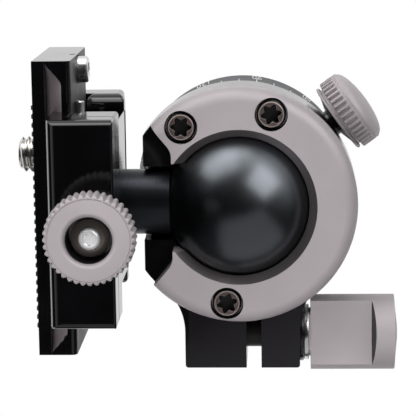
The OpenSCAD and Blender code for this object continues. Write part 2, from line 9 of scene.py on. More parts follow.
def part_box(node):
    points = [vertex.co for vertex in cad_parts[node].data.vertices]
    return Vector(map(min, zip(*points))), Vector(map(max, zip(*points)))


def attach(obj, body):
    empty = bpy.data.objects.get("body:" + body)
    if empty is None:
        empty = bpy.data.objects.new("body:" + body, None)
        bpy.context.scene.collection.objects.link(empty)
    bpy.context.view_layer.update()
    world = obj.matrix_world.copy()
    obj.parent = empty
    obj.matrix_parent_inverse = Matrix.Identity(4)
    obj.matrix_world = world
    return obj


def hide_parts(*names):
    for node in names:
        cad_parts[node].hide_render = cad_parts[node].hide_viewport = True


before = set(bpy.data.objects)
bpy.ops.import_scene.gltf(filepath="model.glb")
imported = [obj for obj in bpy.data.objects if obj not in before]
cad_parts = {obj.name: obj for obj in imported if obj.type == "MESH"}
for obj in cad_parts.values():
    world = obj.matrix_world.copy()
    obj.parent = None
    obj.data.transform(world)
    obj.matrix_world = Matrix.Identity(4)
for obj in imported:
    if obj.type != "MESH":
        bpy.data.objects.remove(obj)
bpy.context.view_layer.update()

# Studio: a white table in a dim room, seen down the pan axis by a long lens over the retaining ring.
# Four soft boxes show only in reflections, and two fills light only the matt faces.
lens_right = Vector((0.99898, -0.01315, -0.04319))
lens_up = Vector((0.00523, 0.98390, -0.17868))
lens_back = Vector((0.04484, 0.17828, 0.98296))
camera_data = bpy.data.cameras.new("camera")
camera_data.lens = 166.80
camera_data.sensor_width = 36.0
camera_data.clip_start = 0.01
camera = bpy.data.objects.new("camera", camera_data)
lens_place = Matrix.Translation((0.01460, 0.09011, 0.54441))
lens_turn = Matrix((lens_right, lens_up, lens_back)).transposed().to_4x4()
camera.matrix_world = lens_place @ lens_turn
bpy.context.scene.collection.objects.link(camera)
bpy.context.scene.camera = camera
bpy.context.scene.view_settings.view_transform = "Standard"

# Each box has its direction as the lens sees it, its width and watts, and what it lights: matt faces or shine
lamp_aim = Vector((0, 0, 0.04))
lamp_distance = 0.9
soft_boxes = (("left_box", -0.40, 0.82, 0.38, 0.68, 2.6, False, True),
              ("right_box", 0.52, 0.44, 0.65, 0.62, 4.6, False, True),
              ("far_box", -0.10, 0.99, 0.04, 0.6, 1.6, False, True),
              ("low_box", 0.22, -0.86, 0.46, 1.45, 3.2, False, True),
              ("top_fill", -0.35, 0.60, 0.72, 0.6, 2.8, True, False),
              ("front_fill", -0.10, -0.52, 0.85, 0.6, 5.8, True, False))
for label, side, lift, near, width, watts, on_matt, on_shine in soft_boxes:
    lamp = bpy.data.lights.new(label, "AREA")
    lamp.shape = "SQUARE"
    lamp.size = width
    lamp.energy = watts
    soft_box = bpy.data.objects.new(label, lamp)
    towards = (lens_right * side + lens_up * lift + lens_back * near).normalized()
    soft_box.location = lamp_aim + towards * lamp_distance
    soft_box.rotation_euler = towards.to_track_quat("Z", "Y").to_euler()
    soft_box.visible_camera = False
    soft_box.visible_diffuse = on_matt
    soft_box.visible_glossy = on_shine
    bpy.context.scene.collection.objects.link(soft_box)


def put(tree, kind, **settings):
    """New shader node with its settings."""
    node = tree.nodes.new("ShaderNode" + kind)
    for key, value in settings.items():
        setattr(node, key, value)
    return node


def ramp(tree, first, last, low, high, way="LINEAR"):
    """Node that takes a value between two limits to one between two levels."""
    node = put(tree, "MapRange", interpolation_type=way)
    limits = {"From Min": first, "From Max": last, "To Min": low, "To Max": high}
    for label, limit in limits.items():
        node.inputs[label].default_value = limit
    return node


def seen_rays(tree, *kinds):
    """One for the kinds of ray that look at the background, and nought for the others."""
    path = put(tree, "LightPath")
    total = path.outputs[kinds[0]]
    for kind in kinds[1:]:
        either = put(tree, "Math", operation="MAXIMUM")
        tree.links.new(total, either.inputs[0])
        tree.links.new(path.outputs[kind], either.inputs[1])
        total = either.outputs[0]
    return total


# The room is bright at eye level on the far side, fades towards the ceiling and is black below the table
room = bpy.data.worlds.new("room")
room.use_nodes = True
air = room.node_tree
air.nodes.clear()
direction = put(air, "TexCoord")
height = put(air, "SeparateXYZ")
fade = ramp(air, 0.15, 0.70, 1.0, 0.012, "SMOOTHSTEP")
below = ramp(air, -0.12, 0.04, 0.0, 1.0, "SMOOTHSTEP")
far_side = ramp(air, -0.5, 0.9, 0.06, 2.2, "SMOOTHSTEP")
sweep = put(air, "VectorMath", operation="DOT_PRODUCT")
sweep.inputs[1].default_value = (-0.18, 0.98, 0.0)
bright = put(air, "Math", operation="MULTIPLY")
cut_off = put(air, "Math", operation="MULTIPLY")
walls = put(air, "Background")
white = put(air, "Background")
choose = put(air, "MixShader")
sky = put(air, "OutputWorld")
air.links.new(direction.outputs["Generated"], height.inputs[0])
air.links.new(height.outputs["Z"], fade.inputs["Value"])
air.links.new(direction.outputs["Generated"], sweep.inputs[0])
air.links.new(sweep.outputs["Value"], far_side.inputs["Value"])
air.links.new(fade.outputs[0], bright.inputs[0])
air.links.new(far_side.outputs[0], bright.inputs[1])
air.links.new(height.outputs["Z"], below.inputs["Value"])
air.links.new(bright.outputs[0], cut_off.inputs[0])
air.links.new(below.outputs[0], cut_off.inputs[1])
air.links.new(cut_off.outputs[0], walls.inputs["Strength"])
walls.inputs["Color"].default_value = (1, 1, 1, 1)
white.inputs["Color"].default_value = (1, 1, 1, 1)
air.links.new(seen_rays(air, "Is Camera Ray", "Is Transmission Ray"), choose.inputs[0])
air.links.new(walls.outputs[0], choose.inputs[1])
air.links.new(white.outputs[0], choose.inputs[2])
air.links.new(choose.outputs[0], sky.inputs[0])
bpy.context.scene.world = room

table_r = 0.14
table_low = -0.0003
table_top = bpy.data.materials.new("white_table")
table_top.use_nodes = True
cover = table_top.node_tree
cover.nodes.clear()
paint = put(cover, "BsdfDiffuse")
paint.inputs["Color"].default_value = (0.86, 0.86, 0.86, 1)
glow = put(cover, "Emission")
lit = put(cover, "MixShader")
out = put(cover, "OutputMaterial")
cover.links.new(seen_rays(cover, "Is Camera Ray", "Is Glossy Ray", "Is Transmission Ray"), lit.inputs[0])
cover.links.new(paint.outputs[0], lit.inputs[1])
cover.links.new(glow.outputs[0], lit.inputs[2])
cover.links.new(lit.outputs[0], out.inputs[0])
bm = bmesh.new()
bmesh.ops.create_circle(bm, cap_ends=True, segments=96, radius=table_r)
bmesh.ops.translate(bm, vec=(0, 0, table_low), verts=bm.verts)
mesh = bpy.data.meshes.new("table")
bm.to_mesh(mesh)
bm.free()
mesh.materials.append(table_top)
table = bpy.data.objects.new("table", mesh)
bpy.context.scene.collection.objects.link(table)

# Pan base: the foot and drum of the head, turned from one piece of aluminium.
# It is bead blasted and anodised black, and its sharp edges are broken and rubbed a little bright.
MM = 0.001
SKIN_DEPTH = 0.00004
SHARP_EDGE = 40


def socket_group(name, inputs, outputs):
    """Empty shader group with named numbers, or vectors where the first value is None, and named outputs."""
    tree = bpy.data.node_groups.new(name, "ShaderNodeTree")
    for label, value in inputs.items():
        kind = "NodeSocketVector" if value is None else "NodeSocketFloat"
        socket = tree.interface.new_socket(label, in_out="INPUT", socket_type=kind)
        if value is not None:
            socket.default_value = value
    for label in outputs:
        tree.interface.new_socket(label, in_out="OUTPUT", socket_type="NodeSocketFloat")
    return tree, tree.nodes.new("NodeGroupInput"), tree.nodes.new("NodeGroupOutput")


# Fine pits and a faint cloud, as bead blasting leaves them
blasted, knobs, result = socket_group("Blasted skin", {"Grain": 3000.0, "Cloud": 70.0}, ["Height", "Cloud"])
place = put(blasted, "TexCoord")
pits = put(blasted, "TexNoise")
pits.inputs["Detail"].default_value = 3.0
haze = put(blasted, "TexNoise")
haze.inputs["Detail"].default_value = 4.0
spread = ramp(blasted, 0.32, 0.68, 0.0, 1.0)
blasted.links.new(place.outputs["Object"], pits.inputs["Vector"])
blasted.links.new(place.outputs["Object"], haze.inputs["Vector"])
blasted.links.new(knobs.outputs["Grain"], pits.inputs["Scale"])
blasted.links.new(knobs.outputs["Cloud"], haze.inputs["Scale"])
blasted.links.new(haze.outputs["Fac"], spread.inputs["Value"])
blasted.links.new(pits.outputs["Fac"], result.inputs["Height"])
blasted.links.new(spread.outputs[0], result.inputs["Cloud"])

# Patches on the rims of a piece that are rubbed bright
rubbed, knobs, result = socket_group("Rubbed edges", {"Patches": 500.0, "Amount": 0.4}, ["Mask"])
place = put(rubbed, "TexCoord")
rim = put(rubbed, "Attribute", attribute_name="rim")
patches = put(rubbed, "TexNoise")
patches.inputs["Detail"].default_value = 4.0
spread = ramp(rubbed, 0.36, 0.66, 0.0, 1.0)
on_rim = put(rubbed, "Math", operation="MULTIPLY")
weaker = put(rubbed, "Math", operation="MULTIPLY", use_clamp=True)
rubbed.links.new(place.outputs["Object"], patches.inputs["Vector"])
rubbed.links.new(knobs.outputs["Patches"], patches.inputs["Scale"])
rubbed.links.new(patches.outputs["Fac"], spread.inputs["Value"])
rubbed.links.new(rim.outputs["Fac"], on_rim.inputs[0])
rubbed.links.new(spread.outputs[0], on_rim.inputs[1])
rubbed.links.new(on_rim.outputs[0], weaker.inputs[0])
rubbed.links.new(knobs.outputs["Amount"], weaker.inputs[1])
rubbed.links.new(weaker.outputs[0], result.inputs["Mask"])

# Rings round an axis, as the tool of a lathe leaves them
lathe, knobs, result = socket_group("Turning marks", {"Place": None, "Pitch": 4000.0}, ["Height"])
parts = put(lathe, "SeparateXYZ")
flat = put(lathe, "CombineXYZ")
radius = put(lathe, "VectorMath", operation="LENGTH")
run = put(lathe, "Math", operation="ADD")
rings = put(lathe, "Math", operation="MULTIPLY")
feed = put(lathe, "TexNoise", noise_dimensions="1D")
feed.inputs["Scale"].default_value = 1.0
feed.inputs["Detail"].default_value = 2.0
lathe.links.new(knobs.outputs["Place"], parts.inputs[0])
lathe.links.new(parts.outputs["X"], flat.inputs["X"])
lathe.links.new(parts.outputs["Y"], flat.inputs["Y"])
lathe.links.new(flat.outputs[0], radius.inputs[0])
lathe.links.new(radius.outputs["Value"], run.inputs[0])
lathe.links.new(parts.outputs["Z"], run.inputs[1])
lathe.links.new(run.outputs[0], rings.inputs[0])
lathe.links.new(knobs.outputs["Pitch"], rings.inputs[1])
lathe.links.new(rings.outputs[0], feed.inputs["W"])
lathe.links.new(feed.outputs["Fac"], result.inputs["Height"])


def finish(name, colour, shade, rough, metallic, grain=3000.0, relief=0.2, rub=0.35, bare=(0.45, 0.44, 0.43),
           axis=None, pitch=4000.0, marks=0.3, swing=0.12):
    """Material with a fine grain, a faint cloud, rubbed edges and, where it has an axis, turning marks."""
    material = bpy.data.materials.new(name)
    material.use_nodes = True
    tree = material.node_tree
    surface = tree.nodes["Principled BSDF"]
    surface.inputs["Metallic"].default_value = metallic
    skin = put(tree, "Group", node_tree=blasted)
    skin.inputs["Grain"].default_value = grain
    worn = put(tree, "Group", node_tree=rubbed)
    worn.inputs["Amount"].default_value = rub
    tint = put(tree, "Mix", data_type="RGBA")
    tint.inputs["A"].default_value = (*colour, 1)
    tint.inputs["B"].default_value = (*shade, 1)
    edge = put(tree, "Mix", data_type="RGBA")
    edge.inputs["B"].default_value = (*bare, 1)
    gloss = ramp(tree, 0.0, 1.0, rough - swing / 2, rough + swing / 2)
    bump = put(tree, "Bump")
    bump.inputs["Strength"].default_value = relief
    bump.inputs["Distance"].default_value = SKIN_DEPTH
    tree.links.new(skin.outputs["Cloud"], tint.inputs["Factor"])
    tree.links.new(tint.outputs["Result"], edge.inputs["A"])
    tree.links.new(worn.outputs["Mask"], edge.inputs["Factor"])
    tree.links.new(edge.outputs["Result"], surface.inputs["Base Color"])
    tree.links.new(skin.outputs["Cloud"], gloss.inputs["Value"])
    tree.links.new(gloss.outputs[0], surface.inputs["Roughness"])
    tree.links.new(skin.outputs["Height"], bump.inputs["Height"])
    normal = bump.outputs["Normal"]
    if axis:
        place = put(tree, "TexCoord")
        seat = put(tree, "Mapping")
        back = axis.inverted()
        seat.inputs["Location"].default_value = back.to_translation() * MM
        seat.inputs["Rotation"].default_value = back.to_euler()
        cut = put(tree, "Group", node_tree=lathe)
        cut.inputs["Pitch"].default_value = pitch
        groove = put(tree, "Bump")
        groove.inputs["Strength"].default_value = marks
        groove.inputs["Distance"].default_value = SKIN_DEPTH
        tree.links.new(place.outputs["Object"], seat.inputs["Vector"])
        tree.links.new(seat.outputs[0], cut.inputs["Place"])
        tree.links.new(cut.outputs["Height"], groove.inputs["Height"])
        tree.links.new(normal, groove.inputs["Normal"])
        normal = groove.outputs["Normal"]
    tree.links.new(normal, surface.inputs["Normal"])
    return material


def dress(bm, name, material, body, slot, *stands_for, axis=Matrix.Identity(4), sharp=35):
    """Piece from a shape in millimetres, set on its axis, riding on its body and replacing the nodes named."""
    bmesh.ops.transform(bm, matrix=axis, verts=bm.verts)
    bmesh.ops.scale(bm, vec=(MM, MM, MM), verts=bm.verts)
    mesh = bpy.data.meshes.new(name)
    bm.to_mesh(mesh)
    bm.free()
    mesh.materials.append(material)
    mesh.shade_smooth()
    mesh.set_sharp_from_angle(angle=radians(sharp))
    piece = bpy.data.objects.new(name, mesh)
    bpy.context.scene.collection.objects.link(piece)
    even = piece.modifiers.new("even_normals", "WEIGHTED_NORMAL")
    even.keep_sharp = True
    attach(piece, body)
    if stands_for:
        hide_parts(*stands_for)
    return piece


def repaint(piece, material, chosen):
    """Further finish on the faces that a test on their middle, in millimetres, and their normal picks out."""
    piece.data.materials.append(material)
    for face in piece.data.polygons:
        if chosen(face.center / MM, face.normal):
            face.material_index = len(piece.data.materials) - 1


def break_edges(bm, width, segments=2, shortest=0.0):
    """Round the sharp edges of a shape and mark the rounds as rims that rub bright."""
    rims = bm.faces.layers.float.new("rim")
    sharp = [e for e in bm.edges if len(e.link_faces) == 2 and e.calc_face_angle() > radians(SHARP_EDGE)
             and e.calc_length() > shortest]
    made = bmesh.ops.bevel(bm, geom=sharp, offset=width, offset_type="OFFSET", affect="EDGES",
                           segments=segments, profile=0.5, clamp_overlap=True, material=-1)
    for face in made["faces"]:
        face[rims] = 1.0


def solid(node, join=0.002):
    """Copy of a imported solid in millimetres, its triangles merged into whole faces."""
    bm = bmesh.new()
    bm.from_mesh(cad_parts[node].data)
    bmesh.ops.scale(bm, vec=(1 / MM, 1 / MM, 1 / MM), verts=bm.verts)
    bmesh.ops.remove_doubles(bm, verts=bm.verts, dist=join)
    bmesh.ops.dissolve_limit(bm, angle_limit=radians(0.4), verts=bm.verts, edges=bm.edges)
    return bm


def softened(node, width, material, body, slot, segments=2, join=0.002, shortest=0.0):
    """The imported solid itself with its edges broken."""
    bm = solid(node, join)
    break_edges(bm, width, segments, shortest=shortest)
    return dress(bm, node + "_finished", material, body, slot, node)


black = finish("black_anodised", (0.0050, 0.0036, 0.0054), (0.0070, 0.0052, 0.0074), 0.14, 0.0, relief=0.02,
               rub=0.06, swing=0.06)
softened("pan_base", 0.3, black, "base", "black_anodised")

# Scale ring: an aluminium sleeve pressed on the base, with a flared skirt that carries the pan scale.
# It is anodised dark grey, and its degree marks and numbers are filled with white paint.
scale_grey = finish("scale_grey", (0.105, 0.107, 0.115), (0.13, 0.132, 0.14), 0.46, 0.45, rub=0.1,
                    axis=Matrix.Identity(4), marks=0.15)
scale_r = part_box("scale_ring")[1][0] / MM
scale_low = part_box("scale_ring")[0][2] / MM
scale_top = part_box("scale_ring")[1][2] / MM
scale_in = 26.75
rim_top = scale_low + 0.65
taper = 1.8
skirt = 5.0
neck_r = scale_r - taper
scale_edge = 0.2
paint_t = 0.05


def turned(points, steps=144, closed=True):
    """Shape swept round the Z axis from a profile of radii and heights."""
    bm = bmesh.new()
    profile = [bm.verts.new((r, 0, z)) for r, z in points]
    edges = [bm.edges.new(pair) for pair in zip(profile, profile[1:])]
    if closed:
        edges.append(bm.edges.new((profile[-1], profile[0])))
    bmesh.ops.spin(bm, geom=profile + edges, cent=(0, 0, 0), axis=(0, 0, 1), angle=2 * pi, steps=steps,
                   use_merge=True)
    bmesh.ops.remove_doubles(bm, verts=bm.verts, dist=1e-5)
    bmesh.ops.recalc_face_normals(bm, faces=bm.faces)
    return bm


bm = turned([(scale_in, scale_low), (scale_r - scale_edge, scale_low), (scale_r, scale_low + scale_edge),
             (scale_r, rim_top - 0.15), (scale_r - 0.06, rim_top + 0.15), (neck_r, rim_top + skirt),
             (neck_r, scale_top - scale_edge), (neck_r - scale_edge, scale_top), (scale_in, scale_top)],
            steps=192)
dress(bm, "scale_sleeve", scale_grey, "base", "scale_band", "scale_ring")

white_fill = finish("white_fill", (0.72, 0.72, 0.70), (0.60, 0.60, 0.58), 0.6, 0.0, rub=0.0)


def wrap_on_scale(bm, azimuth):
    """Lay a flat mark, drawn with Y up from the lower edge of the cone, on the cone of the skirt."""
    slope = hypot(taper, skirt)
    for vert in bm.verts:
        up, lift = vert.co.y, vert.co.z
        r = scale_r - (up * taper - lift * skirt) / slope
        z = rim_top + (up * skirt + lift * taper) / slope
        turn = radians(azimuth) + vert.co.x / scale_r
        vert.co = Vector((r * cos(turn), r * sin(turn), z))


def mark(width, low, high):
    """Flat bar of paint between two heights on the cone."""
    bm = bmesh.new()
    bmesh.ops.create_cube(bm, size=1.0)
    bmesh.ops.scale(bm, vec=(width, high - low, paint_t), verts=bm.verts)
    bmesh.ops.translate(bm, vec=(0, (low + high) / 2, 0.0), verts=bm.verts)
    return bm


def number(text, middle, size):
    """Flat number with some thickness, its middle at a height on the cone."""
    letters = bpy.data.curves.new("number", "FONT")
    letters.body = text
    letters.size = size
    letters.align_x = "CENTER"
    letters.align_y = "CENTER"
    letters.extrude = paint_t / 2
    letters.resolution_u = 3
    carrier = bpy.data.objects.new("number", letters)
    mesh = bpy.data.meshes.new_from_object(carrier)
    bm = bmesh.new()
    bm.from_mesh(mesh)
    bmesh.ops.remove_doubles(bm, verts=bm.verts, dist=1e-4)
    bmesh.ops.translate(bm, vec=(0, middle, 0), verts=bm.verts)
    bpy.data.objects.remove(carrier)
    bpy.data.curves.remove(letters)
    bpy.data.meshes.remove(mesh)
    return bm


def gather(shapes):
    """One shape from several, each used up."""
    whole = bmesh.new()
    for part in shapes:
        carried = bpy.data.meshes.new("carried")
        part.to_mesh(carried)
        part.free()
        whole.from_mesh(carried)
        bpy.data.meshes.remove(carried)
    return whole


marks = []
scale_start = 8.3
tick_top = 4.6
for degree in range(0, 360, 10):
    azimuth = degree - scale_start
    major = degree % 30 == 0
    tick = mark(0.30, 1.55, tick_top) if major else mark(0.26, 2.1, tick_top)
    wrap_on_scale(tick, azimuth)
    marks.append(tick)
    if major:
        figures = number(str(degree), middle=0.75, size=3.0)
        wrap_on_scale(figures, azimuth)
        marks.append(figures)
dress(gather(marks), "scale_marks", white_fill, "base", "scale_band")

# Tripod bush: a flanged stainless bush set in the base from above, cut with the coarse tripod thread.
# The thread is a real helix, so it shows from below.
steel_light = (0.70, 0.70, 0.71)
steel_shade = (0.60, 0.60, 0.61)
steel = finish("bright_steel", steel_light, steel_shade, 0.26, 1.0, grain=2500.0, relief=0.06, rub=0.0)
turned_steel = finish("turned_steel", steel_light, steel_shade, 0.28, 1.0, relief=0.05, rub=0.0,
                      axis=Matrix.Identity(4), marks=0.3)
thread_pitch = 1.5875


def helix(points, start, turns, pitch, steps=36):
    """Closed profile of radii and heights wound up the Z axis."""
    bm = bmesh.new()
    profile = [bm.verts.new((r, 0, z + start)) for r, z in points]
    edges = [bm.edges.new(pair) for pair in zip(profile, profile[1:] + profile[:1])]
    count = round(turns * steps)
    bmesh.ops.spin(bm, geom=profile + edges, cent=(0, 0, 0), axis=(0, 0, 1), dvec=(0, 0, pitch / steps),
                   angle=2 * pi * count / steps, steps=count)
    bmesh.ops.holes_fill(bm, edges=bm.edges)
    bmesh.ops.recalc_face_normals(bm, faces=bm.faces)
    return bm


bush = turned([(4.78, 0.5), (5.2, 0.05), (7.7, 0.05), (7.95, 0.3), (7.95, 7.5), (9.75, 7.5), (10.0, 7.75),
               (10.0, 10.25), (9.75, 10.5), (5.2, 10.5), (4.78, 10.1)], steps=96)
groove_wall = helix([(4.82, 0.0), (4.02, 0.62), (4.02, 0.86), (4.82, 1.48)], 0.4, 5.1, thread_pitch)
dress(gather([bush, groove_wall]), "tripod_bush", turned_steel, "base", "stainless", "tripod_insert")

# Pan bearing: a thin slip washer between the drum and the body.
# It is punched from white bearing plastic and lies loose on the drum.
slip_white = finish("slip_plastic", (0.78, 0.78, 0.75), (0.70, 0.70, 0.67), 0.5, 0.0, relief=0.1, rub=0.0)
softened("pan_bearing", 0.1, slip_white, "base", "bearing_plastic")

# Socket body: the split housing with its drop slot and the two lugs of the ball lock.
# It is milled from aluminium and anodised black, with rounded corners and a glossier slot.
gloss_black = finish("gloss_black", (0.0022, 0.0022, 0.0026), (0.0034, 0.0034, 0.0040), 0.09, 0.0,
                     relief=0.006, rub=0.05, swing=0.03)
slot_end = -14
bm = solid("socket_body", 0.16)
break_edges(bm, 0.4, 3)
whole = bm.verts[:] + bm.edges[:] + bm.faces[:]
bmesh.ops.bisect_plane(bm, geom=whole, plane_co=(slot_end, 0, 0), plane_no=(1, 0, 0))
piece = dress(bm, "socket_body_finished", black, "socket", "black_anodised", "socket_body")
repaint(piece, gloss_black, lambda at, way: at.x < slot_end and at.xy.dot(way.xy) < 0.5 * at.xy.length)

# Ball seat, wave spring and keeper screws: what carries the ball and holds the body on the base.
# The seat is turned from bearing plastic, the spring is a waved steel ring, and the screws are set screws.
softened("ball_seat", 0.15, slip_white, "socket", "bearing_plastic")
spring_high = 23.75
spring_waves = 5
spring_rise = 0.38
bm = turned([(16.6, -0.2), (19.6, -0.2), (19.6, 0.2), (16.6, 0.2)], steps=120)
for vert in bm.verts:
    vert.co.z += spring_high + spring_rise * sin(spring_waves * atan2(vert.co.y, vert.co.x))
dress(bm, "wave_spring", steel, "socket", "stainless", "seat_spring")
softened("keeper_screws", 0.12, steel, "socket", "stainless")

# Retaining ring: the collar screwed on the body over the ball, with a flared notch for the stem.
# It is milled from aluminium, bead blasted and anodised warm grey, with a smoother cone in its hole.
# The walls of its three screw holes are painted near black as shade, where no light reaches.
grey = finish("grey_anodised", (0.40, 0.362, 0.378), (0.435, 0.394, 0.411), 0.55, 0.1, grain=2600.0,
              relief=0.5, rub=0.25, bare=(0.55, 0.53, 0.52))
lip_grey = finish("lip_grey", (0.30, 0.272, 0.275), (0.34, 0.308, 0.311), 0.38, 0.9, relief=0.1, rub=0.0)
painted_shade = finish("painted_shade_black", (0.004, 0.0035, 0.0035), (0.006, 0.0055, 0.0055), 0.5, 0.0, relief=0.02, rub=0.0)
ring_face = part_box("retaining_ring")[1][2] / MM
screw_circle = 25.992
screw_places = ((125, -7), (70.5, 0), (262.5, -8))
holes = [Vector((screw_circle * cos(radians(azimuth)), screw_circle * sin(radians(azimuth))))
         for azimuth, twist in screw_places]
hole_r = 4.6
cone_r = 22
piece = softened("retaining_ring", 0.22, grey, "socket", "grey_anodised", join=0.05)
# Painted shade: the walls of the screw holes are painted near black.
repaint(piece, painted_shade, lambda at, way: abs(way.z) < 0.5 and at.z < ring_face - 0.1
        and min((at.xy - hole).length for hole in holes) < hole_r)
repaint(piece, lip_grey, lambda at, way: 0.4 < way.z < 0.92 and at.xy.length < cone_r
        and at.xy.dot(way.xy) < 0)

# Ring screws: three socket screws with six-lobe drives, sunk in the ring.
# They are blackened steel with a turned head; the drive is painted near black inside as shade, and the sloped
# rims round the drive and the head carry a painted light brown highlight.
oxide = finish("black_oxide", (0.070, 0.051, 0.047), (0.088, 0.066, 0.061), 0.42, 0.3, grain=2200.0,
               relief=0.1, rub=0.5, bare=(0.50, 0.46, 0.43))
rim_highlight_brown = finish("rim_highlight_brown", (0.36, 0.30, 0.285), (0.42, 0.355, 0.34), 0.36, 0.3, relief=0.1, rub=0.0)
head_top = ring_face - 0.5
drive_rim = head_top - 0.3
drive_floor = head_top - 3.6


def round_axis(vert):
    """Radius and turn of a vertex round the Z axis."""
    return hypot(vert.co.x, vert.co.y), atan2(vert.co.y, vert.co.x)


def to_radius(vert, wanted):
    """Move a vertex straight out or in to a radius round the Z axis."""
    grown = wanted / hypot(vert.co.x, vert.co.y)
    vert.co.x *= grown
    vert.co.y *= grown


def lobed(bm, lowest, highest, depth):
    """Press the wall of a drive in waves into six lobes."""
    lobes = 6
    for vert in bm.verts:
        r, turn = round_axis(vert)
        if lowest < r < highest:
            to_radius(vert, r + depth * cos(lobes * turn))


screws = []
drive = [(0, 3.0), (2.3, 2.8), (2.3, 0.4), (2.38, 0.15), (2.5, 0)]
head = [(3.1, 0), (3.3, 0.1), (3.42, 0.35), (3.5, 0.9), (3.8, 1.1), (3.8, 3.7)]
shank = [(2.0, 3.7), (2.0, 14.0), (1.6, 14.4), (0, 14.4)]
for azimuth, twist in screw_places:
    profile = [(r, head_top - deep) for r, deep in drive + head + shank]
    screw = turned(profile, steps=96, closed=False)
    lobed(screw, 2.2, 2.55, 0.46)
    spot = Matrix.Rotation(radians(azimuth), 4, "Z") @ Matrix.Translation((screw_circle, 0, 0))
    bmesh.ops.transform(screw, matrix=spot @ Matrix.Rotation(radians(twist), 4, "Z"), verts=screw.verts)
    screws.append(screw)
piece = dress(gather(screws), "ring_drive_screws", oxide, "socket", "black_oxide", "ring_screws")
# Painted shade: the walls and floor of the drives are painted near black.
repaint(piece, painted_shade, lambda at, way: drive_floor < at.z < drive_rim)
# Painted highlight: the sloped rims round each drive and head are painted light brown.
repaint(piece, rim_highlight_brown, lambda at, way: at.z > drive_rim and 0.3 < way.z < 0.97)

# Ball lock: a bolt across the slit with a steel nut bush, a black washer, a bright thrust ring and a knob.
# The knob is turned aluminium with two milled scoops, anodised grey, and a small set screw closes its end.
# The bolt in the slit and the end walls of the scoops lie in deep shade and are painted near black.
bolt_axis = Matrix.Translation((0, -37.2, 31.968)) @ Matrix.Rotation(radians(90), 4, "Y")
bolt_steel = finish("bolt_steel", steel_light, steel_shade, 0.24, 1.0, relief=0.05, rub=0.0,
                    axis=bolt_axis, marks=0.35)
softened("lock_nut", 0.25, bolt_steel, "socket", "stainless")
softened("lock_washer", 0.2, black, "socket", "black_anodised")
softened("thrust_ring", 0.3, bolt_steel, "thrust", "stainless")
softened("lock_bolt", 0.4, painted_shade, "lock_grip", "black_oxide")
piece = softened("lock_knob", 0.45, grey, "lock_grip", "grey_anodised", segments=3, join=0.08)
scoop_end = (33.5, 36.8)
repaint(piece, painted_shade, lambda at, way: scoop_end[0] < at.x < scoop_end[1] and way.x < -0.55)
softened("lock_cap", 0.1, oxide, "lock_grip", "black_oxide")

# Pan lock: a fluted knob on a black cone, whose steel stud presses a brass shoe on the drum.
# The knob is turned aluminium with milled flutes between a flange and a shallow dome, anodised grey.
brass = finish("turned_brass", (0.70, 0.54, 0.27), (0.60, 0.45, 0.22), 0.3, 1.0, relief=0.06, rub=0.0)
softened("brake_shoe", 0.2, brass, "brake", "brass")
softened("pan_stud", 0.3, steel, "pan_grip", "stainless")
softened("pan_hub", 0.25, black, "pan_grip", "black_anodised")


def trough(turn, count, land, wall):
    """Depth of a row of flat-bottomed flutes at a turn: nought on the lands and one on the floors."""
    reach = abs((turn * count / (2 * pi)) % 1.0 - 0.5) * 2
    return min(max((reach - land) / wall, 0.0), 1.0)


pan_way = Matrix.Rotation(radians(36), 4, "Z")
pan_axis = pan_way @ Matrix.Translation((0, 0, 17.035)) @ Matrix.Rotation(pi / 2, 4, "Y")
pan_flutes = 38
flute_end = 38.1
flute_depth = 0.85
barrel_r = 10.45
flange = [(2.65, 32.7), (9.7, 32.7), (9.9, 32.9), (9.9, 33.2), (9.65, 33.45), (8.9, 33.5), (8.9, 34.3),
          (10.3, 34.3)]
barrel = [(barrel_r, high) for high in (34.5, 35.5, 36.5, 37.3, 37.6, 37.9, flute_end, 38.45)]
collar = [(10.3, 38.55), (10.3, 38.7), (10.42, 38.8), (10.42, 39.2), (10.25, 39.4)]
dome = [(10.0 * cos(radians(7.5 * i)), 39.42 + 2.85 * sin(radians(7.5 * i))) for i in range(1, 12)]
bore = [(0, 42.25), (0, 36.7), (2.65, 36.7)]
bm = turned(flange + barrel + collar + dome + bore, steps=pan_flutes * 12)
for vert in bm.verts:
    r, turn = round_axis(vert)
    if r > barrel_r - 0.2 and vert.co.z < flute_end + 0.2:
        run_out = min(max((flute_end - vert.co.z) / 0.8, 0.0), 1.0)
        to_radius(vert, r - flute_depth * run_out * trough(turn, pan_flutes, land=0.42, wall=0.16))
dress(bm, "fluted_pan_knob", grey, "pan_grip", "grey_anodised", "pan_knob", axis=pan_axis)

# Ball: a forty millimetre aluminium ball, polished and anodised deep black.
# It is turned in one setting, with a flat where the stem is screwed in.
ball_high = 36.968
stem_axis = Matrix(((0, 0, -1, 0), (0, 1, 0, 0), (1, 0, 0, ball_high), (0, 0, 0, 1)))
ball_r = 20.0
flat_r = 8.85
deep_black = finish("polished_black", (0.095, 0.103, 0.112), (0.108, 0.117, 0.127), 0.30, 1.0, grain=4200.0,
                    relief=0.05, rub=0.0, swing=0.05)
arc_steps = 72
arc_step = (pi - asin(flat_r / ball_r)) / arc_steps
arc = [(ball_r * sin(arc_step * i), -ball_r * cos(arc_step * i)) for i in range(arc_steps + 1)]
bm = turned(arc + [(0, arc[-1][1])], steps=144, closed=False)
dress(bm, "polished_ball", deep_black, "ball", "black_anodised", "ball", axis=stem_axis)

# Stem: the turned post between ball and clamp, with the fine rings of the lathe left on it.
# It is aluminium, anodised black, with a small chamfer at both ends.
bed_low = 32.0
stem_end = bed_low - 0.02
stem_r = 8.7
stem_black = finish("stem_black", (0.022, 0.024, 0.028), (0.029, 0.031, 0.036), 0.35, 0.9, relief=0.05,
                    rub=0.1, axis=stem_axis, pitch=2600.0, marks=0.9)
bm = turned([(0, 18.05), (stem_r - 0.35, 18.05), (stem_r, 18.4), (stem_r, bed_low - 0.3),
             (stem_r - 0.3, stem_end), (0, stem_end)], steps=144, closed=False)
dress(bm, "turned_stem", stem_black, "neck", "black_anodised", "stem", axis=stem_axis)

